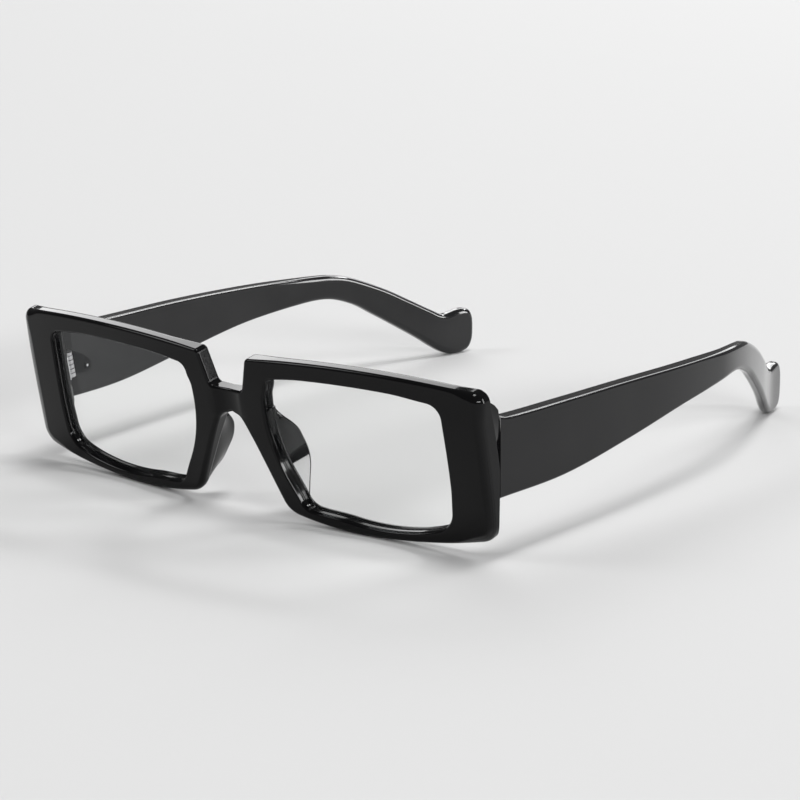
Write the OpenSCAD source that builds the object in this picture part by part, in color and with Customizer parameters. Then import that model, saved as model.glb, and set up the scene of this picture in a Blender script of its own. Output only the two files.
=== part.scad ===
// Square full-rim computer glasses: a wrapped acetate front, bonded nose pads, clear lenses,
// five-barrel hinges and two folding temples with core wires. It stands on its rims and temple tips.
// Millimetres, +Z up, the front faces -Y and the temples run to +Y. The wearer's left is +X.

/* [Lens openings] */
// Width of each lens opening
lens_width = 47.7; // [44:0.1:52]
// Height of each lens opening
lens_height = 34.1; // [31:0.1:38]
// Distance between the two lens openings across the bridge
bridge_gap = 21.4; // [19:0.1:25]

/* [Front] */
// Width of the rim from the lens opening to the outer side
rim_side = 9.8; // [8.5:0.1:12]
// Height of the rim over the lens opening
rim_top = 3.7; // [2.5:0.1:6]
// Height of the rim under the lens opening
rim_bottom = 2.2; // [1.8:0.1:4]
// Thickness of the acetate front
front_depth = 3.8; // [3.4:0.1:4.4]
// Radius of the front's wrap round the face
wrap_radius = 466; // [350:1:900]
// How far the top of the front leans forward, in degrees
front_tilt = 10.8; // [6:0.1:14]
// How far the bridge's upper edge lies under the top of the rims
notch_depth = 10; // [8:0.1:12]
// Height of the bridge between the notch and the nose arch
bridge_height = 5.7; // [4:0.1:7]
// How deep the bridge's face is scooped
bridge_scoop = 0.8; // [0.4:0.1:1.2]

/* [Lenses] */
// Thickness of a lens
lens_thickness = 1.8; // [1.4:0.1:2.2]
// How far the lens lies behind the rim's face
lens_inset = 1.2; // [0.8:0.1:1.4]
// Width of the tongue round a lens
tongue_width = 1; // [0.6:0.1:1.2]
// How far the tongue stands out of the lens edge
tongue_height = 0.45; // [0.3:0.05:0.7]

/* [Nose pads] */
// How far a pad stands out behind the front at its deepest
pad_depth = 8; // [6:0.1:9]
// Height of a pad along the front
pad_height = 21.2; // [18:0.1:23]
// Radius of a pad's back edge
pad_edge = 0.9; // [0.6:0.1:1.2]

/* [Temples] */
// Length of the arm from the joint to the ear bend
arm_length = 101.2; // [90:0.1:112]
// Length of the ear piece past the bend, measured along the arm's direction
ear_length = 43.8; // [38:0.1:50]
// Thickness of a temple at the joint
temple_thickness = 3.9; // [3.6:0.1:4.5]
// Thickness of a temple at its tip
tip_thickness = 3.4; // [3:0.1:4]
// Height of a temple at the joint
temple_height = 18.3; // [16:0.1:20]
// Height of a temple at its waist, before the bend
waist_height = 6.4; // [5.6:0.1:8]
// Height of the temple's upper edge over the table at the bend
bend_height = 27.3; // [25:0.1:30]
// How far the arm bows outward
arm_bow = 1.4; // [0.6:0.1:2]
// How far the tip turns in toward the head
ear_inset = 16.7; // [12:0.1:20]
// Radius of the temples' long edges
edge_radius = 1.2; // [0.5:0.1:1.3]
// Angle of the mitre between the front and a temple, in degrees
mitre_angle = 38; // [34:1:44]

/* [Hinges] */
// Height of the hinge's middle over the lens opening's lowest point, along the front
hinge_height = 18.6; // [16:0.1:20]
// How far the temple's upper edge lies over the hinge's middle
temple_rise = 9.7; // [9:0.1:11]
// Distance from the temple's inner face to the hinge axis
hinge_offset = 1.4; // [1.35:0.05:1.8]
// Distance from the front's back face to the hinge axis
hinge_standoff = 4.2; // [4:0.1:4.6]
// Outer radius of a hinge barrel
barrel_radius = 1.25; // [1.1:0.05:1.3]
// Height of one barrel
barrel_height = 1.07; // [0.9:0.01:1.2]
// Radius of the hinge screw's shank
pin_radius = 0.6; // [0.5:0.05:0.7]
// Radius of the hinge screw's head
head_radius = 1.2; // [1:0.05:1.25]
// Height of the hinge screw's head
head_height = 0.8; // [0.6:0.05:1]
// Thickness of the hinge plates
plate_thickness = 0.9; // [0.7:0.05:1]
// Length of the temple's hinge leaf behind the axis
leaf_length = 9; // [8:0.1:10]
// Radius of the rivet's shank
rivet_radius = 0.5; // [0.4:0.05:0.6]

/* [Core wires] */
// Width of the core wire
core_width = 2.2; // [1.6:0.1:2.6]
// Thickness of the core wire
core_thickness = 0.9; // [0.7:0.05:1.1]

/* [Fits] */
// Gap between parts that are set or bonded into one another
seat_gap = 0.02; // [0.01:0.01:0.05]
// Gap between the front and the temple at the mitre
joint_gap = 0.25; // [0.15:0.05:0.4]
// Gap round a lens and its tongue
lens_gap = 0.05; // [0.03:0.01:0.1]
// Gap between neighbouring barrels
barrel_gap = 0.06; // [0.04:0.01:0.1]
// Radial gap between the screw and the temple's barrels
pin_gap = 0.03; // [0.02:0.01:0.05]
// Gap round the core wire in its channel
core_gap = 0.1; // [0.05:0.05:0.2]

/* [Hidden] */
$fn = 48;
wrap_fn = 1440;
arc_step = 9;
arc_run = 4.5;
blend_steps = 7;
left = 1;
right = -1;
over = 1;
acetate = "#111113";
steel = "#b9bbbf";

// Places on the front, as u across and v up from the lens opening's lowest line
inner_u = bridge_gap / 2;
outer_u = inner_u + lens_width;
half_width = outer_u + rim_side;
low_v = -rim_bottom;
high_v = lens_height + rim_top;
bridge_top_v = high_v - notch_depth;
arch_v = bridge_top_v - bridge_height;

// Distance that the wrap carries a point back, u from the middle
function wrap(u, depth = 0) = wrap_radius - sqrt(pow(wrap_radius - depth, 2) - u * u);

// Outline pieces: an arc is [centre u, centre v, radius, from, to] and runs clockwise if to < from
function arc_turn(a) = a[4] > a[3] ? 1 : -1;
function arc_at(a, t) = [a[0] + a[2] * cos(t), a[1] + a[2] * sin(t)];
function arc_way(a, t) = arc_turn(a) * [-sin(t), cos(t)];
function arc_count(a) =
    let (turn = abs(a[4] - a[3])) max(2, ceil(turn / arc_step), ceil(a[2] * turn * PI / 180 / arc_run));
function arc_points(a) = [for (i = [0:arc_count(a)]) arc_at(a, a[3] + (a[4] - a[3]) * i / arc_count(a))];
function bezier(p, q, r, s, t) =
    pow(1 - t, 3) * p + 3 * pow(1 - t, 2) * t * q + 3 * (1 - t) * t * t * r + t * t * t * s;
function blend(a, b, reach) =
    let (p = arc_at(a, a[4]), s = arc_at(b, b[3]), h = 0.36 * norm(s - p) * reach)
    [for (i = [1:blend_steps - 1])
        bezier(p, p + h * arc_way(a, a[4]), s - h * arc_way(b, b[3]), s, i / blend_steps)];
function open_chain(arcs) = [
    for (i = [0:len(arcs) - 1])
        each concat(arc_points(arcs[i]), i < len(arcs) - 1 ? blend(arcs[i], arcs[i + 1], 1) : []),
];
function closed_chain(arcs) = concat(open_chain(arcs), blend(arcs[len(arcs) - 1], arcs[0], 1));
function grown(arcs, by) = [for (a = arcs) [a[0], a[1], a[2] + by * arc_turn(a), a[3], a[4]]];

// Lens opening on the wearer's left, anticlockwise from its lower inner corner
function opening(by = 0) = closed_chain(grown([
    [inner_u + 0.21 * lens_width, 0.144 * lens_height, 0.106 * lens_height, 204, 262],
    [inner_u + 0.575 * lens_width, 1.757 * lens_height, 1.757 * lens_height, 262, 278],
    [outer_u - 0.104 * lens_width, 0.19 * lens_height, 0.129 * lens_height, -72, -4],
    [outer_u - 4 * lens_width, 0.45 * lens_height, 4 * lens_width, -0.6, 0.9],
    [outer_u - 0.062 * lens_width, 0.885 * lens_height, 0.076 * lens_height, 2, 84],
    [inner_u + 0.5 * lens_width, -5.7 * lens_height, 6.7 * lens_height, 87.5, 93],
    [inner_u + 0.072 * lens_width, 0.893 * lens_height, 0.07 * lens_height, 98, 172],
    [inner_u + 0.645 * lens_width, 0.636 * lens_height, 0.645 * lens_width, 176, 190],
], by));

// Outer outline on the wearer's left, from the nose arch round to the top of the bridge
arch_radius = 3.9;
nose_corner = 5.5;
low_corner = 4.5;
top_corner = 2.1;
notch_corner = 1.35;
notch_foot = 1.5;
low_u = inner_u + 0.49 * lens_width;
inner_bow = 100;
outer_bow = 155;
side_bow = 330;
top_bow = 260;
half_outline = concat([[0, arch_v]], open_chain([
    [0.6, arch_v - 0.4 - arch_radius, arch_radius, 80, 28],
    [inner_u + 6.3, low_v + 7, nose_corner, 205, 258],
    [low_u, low_v + inner_bow, inner_bow, 264, 270],
    [low_u, low_v + outer_bow, outer_bow, 270, 279],
    [half_width - 0.3 - low_corner, low_v + 7.4, low_corner, -79, -2],
    [half_width - side_bow, 0.5 * lens_height, side_bow, -1, 2],
    [half_width - 0.3 - top_corner, high_v - 2 - top_corner, top_corner, 3, 84],
    [low_u + 2, high_v - top_bow, top_bow, 84, 94],
    [8, high_v - 1.35 - notch_corner, notch_corner, 95, 165],
    [3.5, bridge_top_v + 0.2 + notch_foot, notch_foot, -15, -88],
]), [[0, bridge_top_v]]);
half_count = len(half_outline);
outline = concat(half_outline, [for (i = [half_count - 2:-1:1]) [-half_outline[i][0], half_outline[i][1]]]);

// Place of the front: it stands on the lowest points of its rims
function front_z(u, v) = v * cos(front_tilt) + wrap(u) * sin(front_tilt);
function front_y(u, v) = wrap(u) * cos(front_tilt) - v * sin(front_tilt);
front_lift = -min([for (p = half_outline) front_z(p[0], p[1])]);

// Hinge axis, u and v on the front and set back behind its face
hinge_x = half_width - temple_thickness - hinge_offset;
hinge_back = wrap(hinge_x, front_depth) + hinge_standoff;
hinge_y = hinge_back * cos(front_tilt) - hinge_height * sin(front_tilt);
hinge_z = front_lift + hinge_height * cos(front_tilt) + hinge_back * sin(front_tilt);
barrel_count = 5;
barrel_pitch = barrel_height + barrel_gap;
stack_height = barrel_count * barrel_pitch - barrel_gap;

// Joint line at the outer side, upright, where the back of the front meets the temple
joint_y = wrap(half_width, front_depth) * cos(front_tilt) - hinge_height * sin(front_tilt) + 0.1;
joint_top = hinge_z + temple_rise;
bend_y = joint_y + arm_length;
tip_y = bend_y + ear_length;

// Smooth curve through points [y, value], read at y
function slope(p, i) =
    let (a = max(i - 1, 0), b = min(i + 1, len(p) - 1)) (p[b][1] - p[a][1]) / (p[b][0] - p[a][0]);
function span(p, y, i = 0) = i < len(p) - 2 && y > p[i + 1][0] ? span(p, y, i + 1) : i;
function along(p, y) =
    let (i = span(p, y), d = p[i + 1][0] - p[i][0], t = (y - p[i][0]) / d)
    (1 + 2 * t) * pow(1 - t, 2) * p[i][1] + t * pow(1 - t, 2) * d * slope(p, i)
        + t * t * (3 - 2 * t) * p[i + 1][1] + t * t * (t - 1) * d * slope(p, i + 1);
function on_arm(share) = joint_y + share * arm_length;
function on_ear(share) = bend_y + share * ear_length;

// Temple: outer face, upper edge and height as shares of the sizes that drive them
outer_face = [
    [joint_y, half_width], [on_arm(0.23), half_width + 0.57 * arm_bow], [on_arm(0.465), half_width + arm_bow],
    [on_arm(0.7), half_width + 0.82 * arm_bow], [on_arm(0.89), half_width - 0.03 * ear_inset],
    [bend_y, half_width - 0.16 * ear_inset], [on_ear(0.265), half_width - 0.35 * ear_inset],
    [on_ear(0.53), half_width - 0.59 * ear_inset], [on_ear(0.79), half_width - 0.86 * ear_inset],
    [tip_y, half_width - ear_inset],
];
arm_fall = joint_top - bend_height;
upper_edge = [
    [joint_y, joint_top], [on_arm(0.03), joint_top - 0.13 * arm_fall], [on_arm(0.23), joint_top - 0.25 * arm_fall],
    [on_arm(0.465), joint_top - 0.41 * arm_fall], [on_arm(0.7), joint_top - 0.69 * arm_fall],
    [on_arm(0.89), joint_top - 0.9 * arm_fall], [bend_y, bend_height], [on_ear(0.13), 0.98 * bend_height],
    [on_ear(0.265), 0.908 * bend_height], [on_ear(0.415), 0.802 * bend_height],
    [on_ear(0.555), 0.674 * bend_height], [on_ear(0.7), 0.53 * bend_height],
    [on_ear(0.785), 0.455 * bend_height], [on_ear(0.9), 0.468 * bend_height],
    [on_ear(0.96), 0.452 * bend_height], [on_ear(0.985), 0.41 * bend_height], [tip_y, 0.33 * bend_height],
];
lower_edge = [
    [joint_y, joint_top - temple_height], [on_arm(0.23), joint_top - temple_height + 0.1],
    [on_arm(0.465), bend_height - waist_height - 0.35 * (temple_height - waist_height)],
    [on_arm(0.7), bend_height - waist_height - 0.09 * (temple_height - waist_height)],
    [on_arm(0.89), bend_height - waist_height + 0.1], [bend_y, bend_height - waist_height],
    [on_ear(0.185), 0.67 * bend_height], [on_ear(0.335), 0.527 * bend_height],
    [on_ear(0.48), 0.377 * bend_height], [on_ear(0.62), 0.223 * bend_height],
    [on_ear(0.73), 0.09 * bend_height], [on_ear(0.79), 0.032 * bend_height], [on_ear(0.86), 0],
    [on_ear(0.935), 0.012 * bend_height], [on_ear(0.98), 0.06 * bend_height], [tip_y, 0.16 * bend_height],
];
function thickness(y) =
    temple_thickness + (tip_thickness - temple_thickness) * (y - joint_y) / (tip_y - joint_y);
arm_steps = 20;
ear_steps = 24;
stations = concat(
    [for (i = [0:arm_steps - 1]) joint_y - 0.3 + (arm_length + 0.3) * pow(i / arm_steps, 1.15)],
    [for (i = [0:ear_steps]) bend_y + ear_length * sin(90 * i / ear_steps)]
);

// The whole part is centred between the front's face and the temple tips
near_y = min([for (p = half_outline) front_y(p[0], p[1])]);
shift_y = -(near_y + tip_y) / 2;

// Closed skin over rings of points, each ring clockwise seen from the last ring's end
module skin(rings) {
    n = len(rings[0]);
    m = len(rings);
    polyhedron(
        points = [for (r = rings) each r],
        faces = concat(
            [[for (i = [n - 1:-1:0]) i]],
            [for (j = [0:m - 2]) for (i = [0:n - 1])
                each [
                    [j * n + i, (j + 1) * n + (i + 1) % n, (j + 1) * n + i],
                    [j * n + i, j * n + (i + 1) % n, (j + 1) * n + (i + 1) % n],
                ]],
            [[for (i = [0:n - 1]) (m - 1) * n + i]]
        )
    );
}

module placed(side = left) {
    translate([0, shift_y, 0]) mirror([side == left ? 0 : 1, 0, 0]) children();
}

module on_front(side = left) {
    placed(side) translate([0, 0, front_lift]) rotate([front_tilt, 0, 0]) children();
}

module at_hinge(side = left) {
    placed(side) translate([hinge_x, hinge_y, hinge_z]) rotate([front_tilt, 0, 0]) children();
}

// Upright prism of an outline on the front, from y = near to y = far
module across(near, far) {
    translate([0, far, 0]) rotate([90, 0, 0]) linear_extrude(far - near) children();
}

// Space between two depths behind the wrapped face
module layer(from, to) {
    translate([0, wrap_radius, low_v - 10]) difference() {
        cylinder(h = high_v - low_v + 20, r = wrap_radius - from, $fn = wrap_fn);
        translate([0, 0, -over])
            cylinder(h = high_v - low_v + 20 + 2 * over, r = wrap_radius - to, $fn = wrap_fn);
    }
}

front_near = -over;
front_far = wrap(half_width, front_depth) + over;
scoop_radius = 10;
side_round = 2.9;
side_steps = 7;
tongue_near = lens_inset + (lens_thickness - tongue_width) / 2;

// The endpiece's seat for the hinge lies this far in front of the axis
seat_back = 0.36 * hinge_standoff;
seat_y = hinge_back - seat_back;
endpiece_inner = outer_u + 0.9;
endpiece_flank = hinge_x - 1.6;
endpiece_near = wrap(endpiece_inner) + 1.5;
temple_low = joint_top - temple_height;
anchor_left = 1.8;
anchor_width = 3;
prong_width = 1.3;
prong_depth = 2.6;
prong_height = 2.4;

// Plan of the front, its outer ends rounded from the wrapped face into the sides
side_centre = [half_width - side_round, wrap(half_width - side_round, side_round)];
side_turn = acos(side_centre[0] / (wrap_radius - side_round));
side_arc = [for (i = [0:side_steps]) let (t = side_turn * i / side_steps) side_centre + side_round * [cos(t), -sin(t)]];
module rounded_plan() {
    depth = 4 * front_far;
    translate([0, 0, low_v - over]) linear_extrude(high_v - low_v + 2 * over)
        polygon(concat(
            [[half_width, depth]], side_arc, [[0, -front_far]],
            [for (i = [side_steps:-1:0]) [-side_arc[i][0], side_arc[i][1]]], [[-half_width, depth]]
        ));
}

// Side view of the endpiece as [z, y], from its foot round to its top
endpiece_side = [
    [temple_low - 7.2, joint_y - 6], [temple_low - 7.2, joint_y - 1.1], [temple_low - 5.6, joint_y - 0.1],
    [temple_low - 3.6, joint_y + 0.9], [temple_low - 0.4, joint_y + 4.4], [joint_top - 0.7, joint_y + 4.4],
    [joint_top, joint_y], [joint_top + 1.3, joint_y - 0.25], [joint_top + 2.7, joint_y - 1.6],
    [joint_top + 3.5, joint_y - 2.75], [joint_top + 4.6, joint_y - 3.3], [joint_top + 4.6, joint_y - 8],
];

// Solid behind the outer corner that carries the hinge and meets the temple
module endpiece(side) {
    intersection() {
        on_front(side) intersection() {
            translate([0, 0, low_v]) linear_extrude(high_v - low_v)
                polygon([
                    [endpiece_inner, endpiece_near], [half_width, endpiece_near],
                    [half_width, seat_y], [endpiece_flank, seat_y],
                    [endpiece_inner, wrap(endpiece_inner, front_depth) - 0.2],
                ]);
            rounded_plan();
        }
        placed(side) translate([half_width + over, 0, 0]) rotate([0, -90, 0])
            linear_extrude(half_width) polygon(endpiece_side);
    }
}

// Everything behind the mitre line
module behind_mitre(gap = 0) {
    reach = arm_length + ear_length;
    translate([half_width, joint_y + gap, 0]) rotate([0, 0, -mitre_angle])
        translate([-reach, 0, -10]) cube([2 * reach, 2 * reach, high_v + 30]);
}

// Plate and prong of the front's hinge, grown by a fit and cut through the seat by a reach
module hinge_anchor(by, reach) {
    translate([-anchor_left - by, -plate_thickness - by, -stack_height / 2 - by])
        cube([anchor_width + 2 * by, plate_thickness + by + reach, stack_height + 2 * by]);
    translate([-prong_width / 2 - by, -prong_depth - by, -prong_height / 2 - by])
        cube([prong_width + 2 * by, prong_depth + by, prong_height + 2 * by]);
}

module front_frame() {
    color(acetate) difference() {
        union() {
            on_front() intersection() {
                across(front_near, front_far) polygon(outline);
                layer(0, front_depth);
                rounded_plan();
            }
            for (side = [left, right]) endpiece(side);
        }
        for (side = [left, right]) {
            on_front(side) across(front_near - over, front_far + over) polygon(opening());
            on_front(side) intersection() {
                across(front_near, front_far) polygon(opening(tongue_height + lens_gap));
                layer(tongue_near - lens_gap, tongue_near + tongue_width + lens_gap);
            }
            placed(side) intersection() {
                behind_mitre();
                translate([endpiece_inner, -50, -10]) cube([50, 100, high_v + 30]);
            }
            at_hinge(side) translate([0, -seat_back, 0]) hinge_anchor(seat_gap, over);
        }
        on_front() translate([0, bridge_scoop - scoop_radius, arch_v - 3])
            cylinder(h = bridge_height + 6, r = scoop_radius);
    }
}

module lens(side) {
    color("#dfe8ea", 0.35) on_front(side) {
        intersection() {
            across(front_near, front_far) polygon(opening(-lens_gap));
            layer(lens_inset, lens_inset + lens_thickness);
        }
        intersection() {
            across(front_near, front_far) polygon(opening(tongue_height));
            layer(tongue_near, tongue_near + tongue_width);
        }
    }
}

// Pad section at a share of its height: up from the nose edge to the tip and down to the opening's edge
nose_top = [4.8, 18.6];
nose_low = [12, 2.5];
pad_low_v = 0.3;
pad_flare_v = 22;
pad_steps = 18;
pad_rise = [
    [0, 0.02], [0.057, 0.1], [0.189, 0.54], [0.358, 0.87], [0.446, 0.97], [0.542, 0.99], [0.644, 0.95],
    [0.755, 0.8], [0.873, 0.5], [0.953, 0.22], [1, 0.02],
];
pad_tip_u = [
    [0, 5.9], [0.057, 5.1], [0.189, 2.8], [0.358, 1.5], [0.446, 0.8], [0.542, 0.15], [0.644, -0.3],
    [0.755, -0.1], [0.873, 0], [0.953, -0.1], [1, -0.3],
];
function nose_u(v) =
    nose_top[0] + 0.1 + (nose_low[0] - nose_top[0]) * (v - nose_top[1]) / (nose_low[1] - nose_top[1]);
function pad_edge_u(v) = inner_u - 0.1 + 0.018 * pow(max(0, pad_flare_v - v), 1.72);
function pad_seat(u) = wrap(u, front_depth) + seat_gap;
function pad_ring(share) =
    let (
        v = pad_low_v + share * pad_height,
        a = nose_u(v),
        rise = max(0.4, pad_depth * along(pad_rise, share)),
        c = inner_u + along(pad_tip_u, share),
        top = pad_seat(c) + rise,
        b = max(pad_edge_u(v), c + 1.2 * (1 - share)),
        r = min(pad_edge, 0.4 * rise)
    )
    [for (p = [
        [a, 0], [a + 0.45 * (c - a), pad_seat(a) + 0.36 * rise], [c - r, top - 1.3 * r],
        [c - 0.6 * r, top - 0.35 * r], [c, top], [c + 0.6 * r, top - 0.35 * r], [c + 0.9 * r, top - 1.3 * r],
        [b, 0],
    ]) [p[0], max(p[1], pad_seat(p[0])), v]];

module nose_pad(side) {
    color(acetate) on_front(side) skin([for (i = [0:pad_steps]) pad_ring(i / pad_steps)]);
}

module barrel(index, bore) {
    translate([0, 0, index * barrel_pitch - stack_height / 2]) difference() {
        cylinder(h = barrel_height, r = barrel_radius);
        translate([0, 0, -over]) cylinder(h = barrel_height + 2 * over, r = bore);
    }
}

// Web from a barrel to a plate, kept clear of the bore
module web(index, size, place) {
    translate([place[0], place[1], index * barrel_pitch - stack_height / 2]) cube([size[0], size[1], barrel_height]);
}

module front_hinge(side) {
    color(steel) at_hinge(side) {
        difference() {
            union() {
                translate([0, -seat_back, 0]) hinge_anchor(0, 0);
                for (i = [0, 2, 4]) {
                    barrel(i, pin_radius + seat_gap);
                    web(i, [2 * barrel_radius - 0.5, seat_back], [0.25 - barrel_radius, -seat_back]);
                }
            }
            translate([0, 0, -stack_height]) cylinder(h = 2 * stack_height, r = pin_radius + seat_gap);
        }
    }
}

module hinge_screw(side) {
    color(steel) at_hinge(side) {
        translate([0, 0, -stack_height / 2]) cylinder(h = stack_height + seat_gap, r = pin_radius);
        translate([0, 0, stack_height / 2 + seat_gap]) difference() {
            cylinder(h = head_height, r = head_radius);
            translate([-head_radius - over, -0.15, head_height / 2])
                cube([2 * head_radius + 2 * over, 0.3, head_height]);
        }
    }
}

// Leaf outline behind the axis, in the temple's own y and z from the hinge's middle
leaf_outline = [
    [1.4, -2.7], [4.6, -3.2], [leaf_length - 1, -3], [leaf_length, -2], [leaf_length, -0.8],
    [leaf_length - 1, 0.2], [5, 2.1], [3.4, 2.7], [1.4, 2.7],
];
rivet_y = leaf_length - 1.6;
rivet_z = -1.5;

module leaf(by) {
    translate([hinge_offset - by, 0, 0]) rotate([90, 0, 90]) linear_extrude(plate_thickness + by)
        offset_polygon(leaf_outline, by);
}

module offset_polygon(points, by) {
    middle = [for (k = [0, 1]) (min([for (p = points) p[k]]) + max([for (p = points) p[k]])) / 2];
    half = [for (k = [0, 1]) (max([for (p = points) p[k]]) - min([for (p = points) p[k]])) / 2];
    polygon([for (p = points) [for (k = [0, 1]) middle[k] + (p[k] - middle[k]) * (half[k] + by) / half[k]]]);
}

module leaf_place(side) {
    placed(side) translate([hinge_x, hinge_y, hinge_z]) children();
}

module temple_hinge(side) {
    color(steel) difference() {
        union() {
            leaf_place(side) leaf(0);
            at_hinge(side) for (i = [1, 3]) {
                barrel(i, pin_radius + pin_gap);
                web(i, [hinge_offset + plate_thickness / 2, barrel_radius - 0.1], [0, 0.1]);
                web(i, [hinge_offset + plate_thickness / 2 - 0.9, 2.2], [0.9, 0.1]);
            }
        }
        at_hinge(side) translate([0, 0, -stack_height]) cylinder(h = 2 * stack_height, r = pin_radius + pin_gap);
        leaf_place(side) translate([hinge_offset - over, rivet_y, rivet_z]) rotate([0, 90, 0])
            cylinder(h = plate_thickness + 2 * over, r = rivet_radius + seat_gap);
    }
}

rivet_length = 1.3;
rivet_head = 0.25;

module temple_rivet(side) {
    color(steel) leaf_place(side) translate([hinge_offset, rivet_y, rivet_z]) rotate([0, 90, 0]) {
        cylinder(h = rivet_length, r = rivet_radius);
        translate([0, 0, -rivet_head]) cylinder(h = rivet_head - seat_gap, r = 1.6 * rivet_radius);
        translate([0, 0, -rivet_head / 2]) cylinder(h = rivet_head, r = rivet_radius);
    }
}

// Temple section at y: a rectangle with rounded corners between the two faces and the two edges
function corner_points(x, z, r, from) = [for (i = [0:3]) [x + r * cos(from + 30 * i), z + r * sin(from + 30 * i)]];
function temple_ring(y) =
    let (
        x1 = along(outer_face, y), x0 = x1 - thickness(y),
        z1 = along(upper_edge, y), z0 = along(lower_edge, y),
        r = min(edge_radius, 0.45 * thickness(y), 0.45 * (z1 - z0))
    )
    [for (p = concat(
        corner_points(x1 - r, z1 - r, r, 0), corner_points(x0 + r, z1 - r, r, 90),
        corner_points(x0 + r, z0 + r, r, 180), corner_points(x1 - r, z0 + r, r, 270)
    )) [p[0], y, p[1]]];

// The wire goes in from the mitre, so its channel is open there
core_start = joint_y + temple_thickness + 1.5;
channel_start = joint_y - 1;
core_end = on_ear(0.78);
core_steps = 22;
function core_middle(y) =
    [along(outer_face, y) - thickness(y) / 2, y, (along(upper_edge, y) + along(lower_edge, y)) / 2];
function core_ring(y, by) =
    let (
        c = core_middle(y), d = core_middle(y + 0.5) - core_middle(y - 0.5), n = norm([d[1], d[2]]),
        w = core_width / 2 + by, t = core_thickness / 2 + by, up = [0, -d[2] / n, d[1] / n], out = [1, 0, 0]
    )
    [for (s = [[1, 0.5], [0.6, 1], [-0.6, 1], [-1, 0.5], [-1, -0.5], [-0.6, -1], [0.6, -1], [1, -0.5]])
        c + s[0] * t * out + s[1] * w * up];
core_stations = [for (i = [0:core_steps]) core_start + (core_end - core_start) * i / core_steps];
module core(by, before = [], after = []) {
    skin([for (y = concat(before, core_stations, after)) core_ring(y, by)]);
}

module temple(side) {
    color(acetate) difference() {
        placed(side) intersection() {
            skin([for (y = stations) temple_ring(y)]);
            behind_mitre(joint_gap);
        }
        placed(side) core(core_gap, [channel_start], [core_end + 2 * core_gap]);
        leaf_place(side) {
            leaf(seat_gap);
            translate([hinge_offset, rivet_y, rivet_z]) rotate([0, 90, 0])
                cylinder(h = rivet_length + core_gap, r = rivet_radius + seat_gap);
        }
        at_hinge(side) translate([-hinge_offset, -hinge_offset, -stack_height / 2 - 2 * joint_gap])
            cube([2 * hinge_offset + plate_thickness / 2, 4 * hinge_offset, stack_height + 4 * joint_gap + head_height]);
    }
}

module temple_core(side) {
    color(steel) placed(side) core(0);
}

front_frame();
nose_pad(left);  // nose_pad_left
nose_pad(right);  // nose_pad_right
lens(left);  // lens_left
lens(right);  // lens_right
front_hinge(left);  // front_hinge_left
front_hinge(right);  // front_hinge_right
hinge_screw(left);  // hinge_screw_left
hinge_screw(right);  // hinge_screw_right
temple_hinge(left);  // temple_hinge_left
temple_hinge(right);  // temple_hinge_right
temple_rivet(left);  // temple_rivet_left
temple_rivet(right);  // temple_rivet_right
temple(left);  // temple_left
temple(right);  // temple_right
temple_core(left);  // temple_core_left
temple_core(right);  // temple_core_right
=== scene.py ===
import logging
import math
from collections.abc import Callable, Sequence
from dataclasses import dataclass, field
from enum import Enum
from functools import partialmethod

import bmesh
import bpy
import numpy as np
from mathutils import Matrix, Vector


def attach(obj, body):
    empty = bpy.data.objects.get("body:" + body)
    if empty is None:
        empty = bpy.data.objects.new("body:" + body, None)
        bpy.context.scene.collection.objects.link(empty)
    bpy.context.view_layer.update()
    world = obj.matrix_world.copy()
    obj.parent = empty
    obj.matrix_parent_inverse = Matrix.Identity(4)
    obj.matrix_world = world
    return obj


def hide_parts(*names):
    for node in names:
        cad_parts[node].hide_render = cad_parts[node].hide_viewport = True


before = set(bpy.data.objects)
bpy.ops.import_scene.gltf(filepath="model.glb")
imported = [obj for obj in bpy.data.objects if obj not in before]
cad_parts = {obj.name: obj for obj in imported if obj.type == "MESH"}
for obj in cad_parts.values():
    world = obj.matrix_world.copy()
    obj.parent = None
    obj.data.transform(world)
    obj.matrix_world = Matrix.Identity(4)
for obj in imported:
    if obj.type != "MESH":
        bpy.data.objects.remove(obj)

logging.basicConfig(level=logging.INFO, format="%(name)s: %(message)s")
log = logging.getLogger("glasses")

MM = 0.001
TOUCHING = 0.01
WIDEST = 6.0
SCORE_STEP = 2.0
# Material slot of black acetate: a cover on hinge leaves and rivets, and painted shade in the barrel
# seams.
BLACK_COVER_AND_SHADE_SLOT = 1

Array = np.ndarray
Values = np.ndarray | float
Material = bpy.types.Material
Triple = tuple[float, float, float]
Pair = tuple[float, float]
Field = Callable[[Array], Array]
Sockets = dict[str | int, object] | None
Verts = list[bmesh.types.BMVert]
Edges = list[bmesh.types.BMEdge]
Faces = list[bmesh.types.BMFace]
Rings = list[tuple[Array, Array | None]]


class Side(Enum):
    """Wearer's side, as the sign of x."""

    LEFT = 1
    RIGHT = -1

    @property
    def word(self) -> str:
        """Name of the side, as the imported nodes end."""
        return self.name.lower()


def bezier(p: Array, q: Array, r: Array, s: Array, t: float) -> Array:
    """Point of a cubic curve from p to s whose handles are q and r."""
    return (1 - t) ** 3 * p + 3 * (1 - t) ** 2 * t * q + 3 * (1 - t) * t * t * r + t**3 * s


class Wire:
    """One output socket, with Python's arithmetic as Math nodes."""

    def __init__(self, tree: bpy.types.NodeTree, socket: bpy.types.NodeSocket | None) -> None:
        """Keeps the tree and the socket."""
        self.tree, self.socket = tree, socket

    def _maths(self, operation: str, other: "Wire | float") -> "Wire":
        """Adds one Math node.

        Args:
            operation: The Math node's operation.
            other: Second value or link.

        Returns:
            The node's result.
        """
        node = self.tree.nodes.new("ShaderNodeMath")
        node.operation = operation
        self.tree.links.new(self.socket, node.inputs[0])
        if isinstance(other, Wire):
            self.tree.links.new(other.socket, node.inputs[1])
        else:
            node.inputs[1].default_value = other
        return Wire(self.tree, node.outputs[0])

    __add__ = __radd__ = partialmethod(_maths, "ADD")
    __mul__ = __rmul__ = partialmethod(_maths, "MULTIPLY")
    __pow__ = partialmethod(_maths, "POWER")


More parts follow.
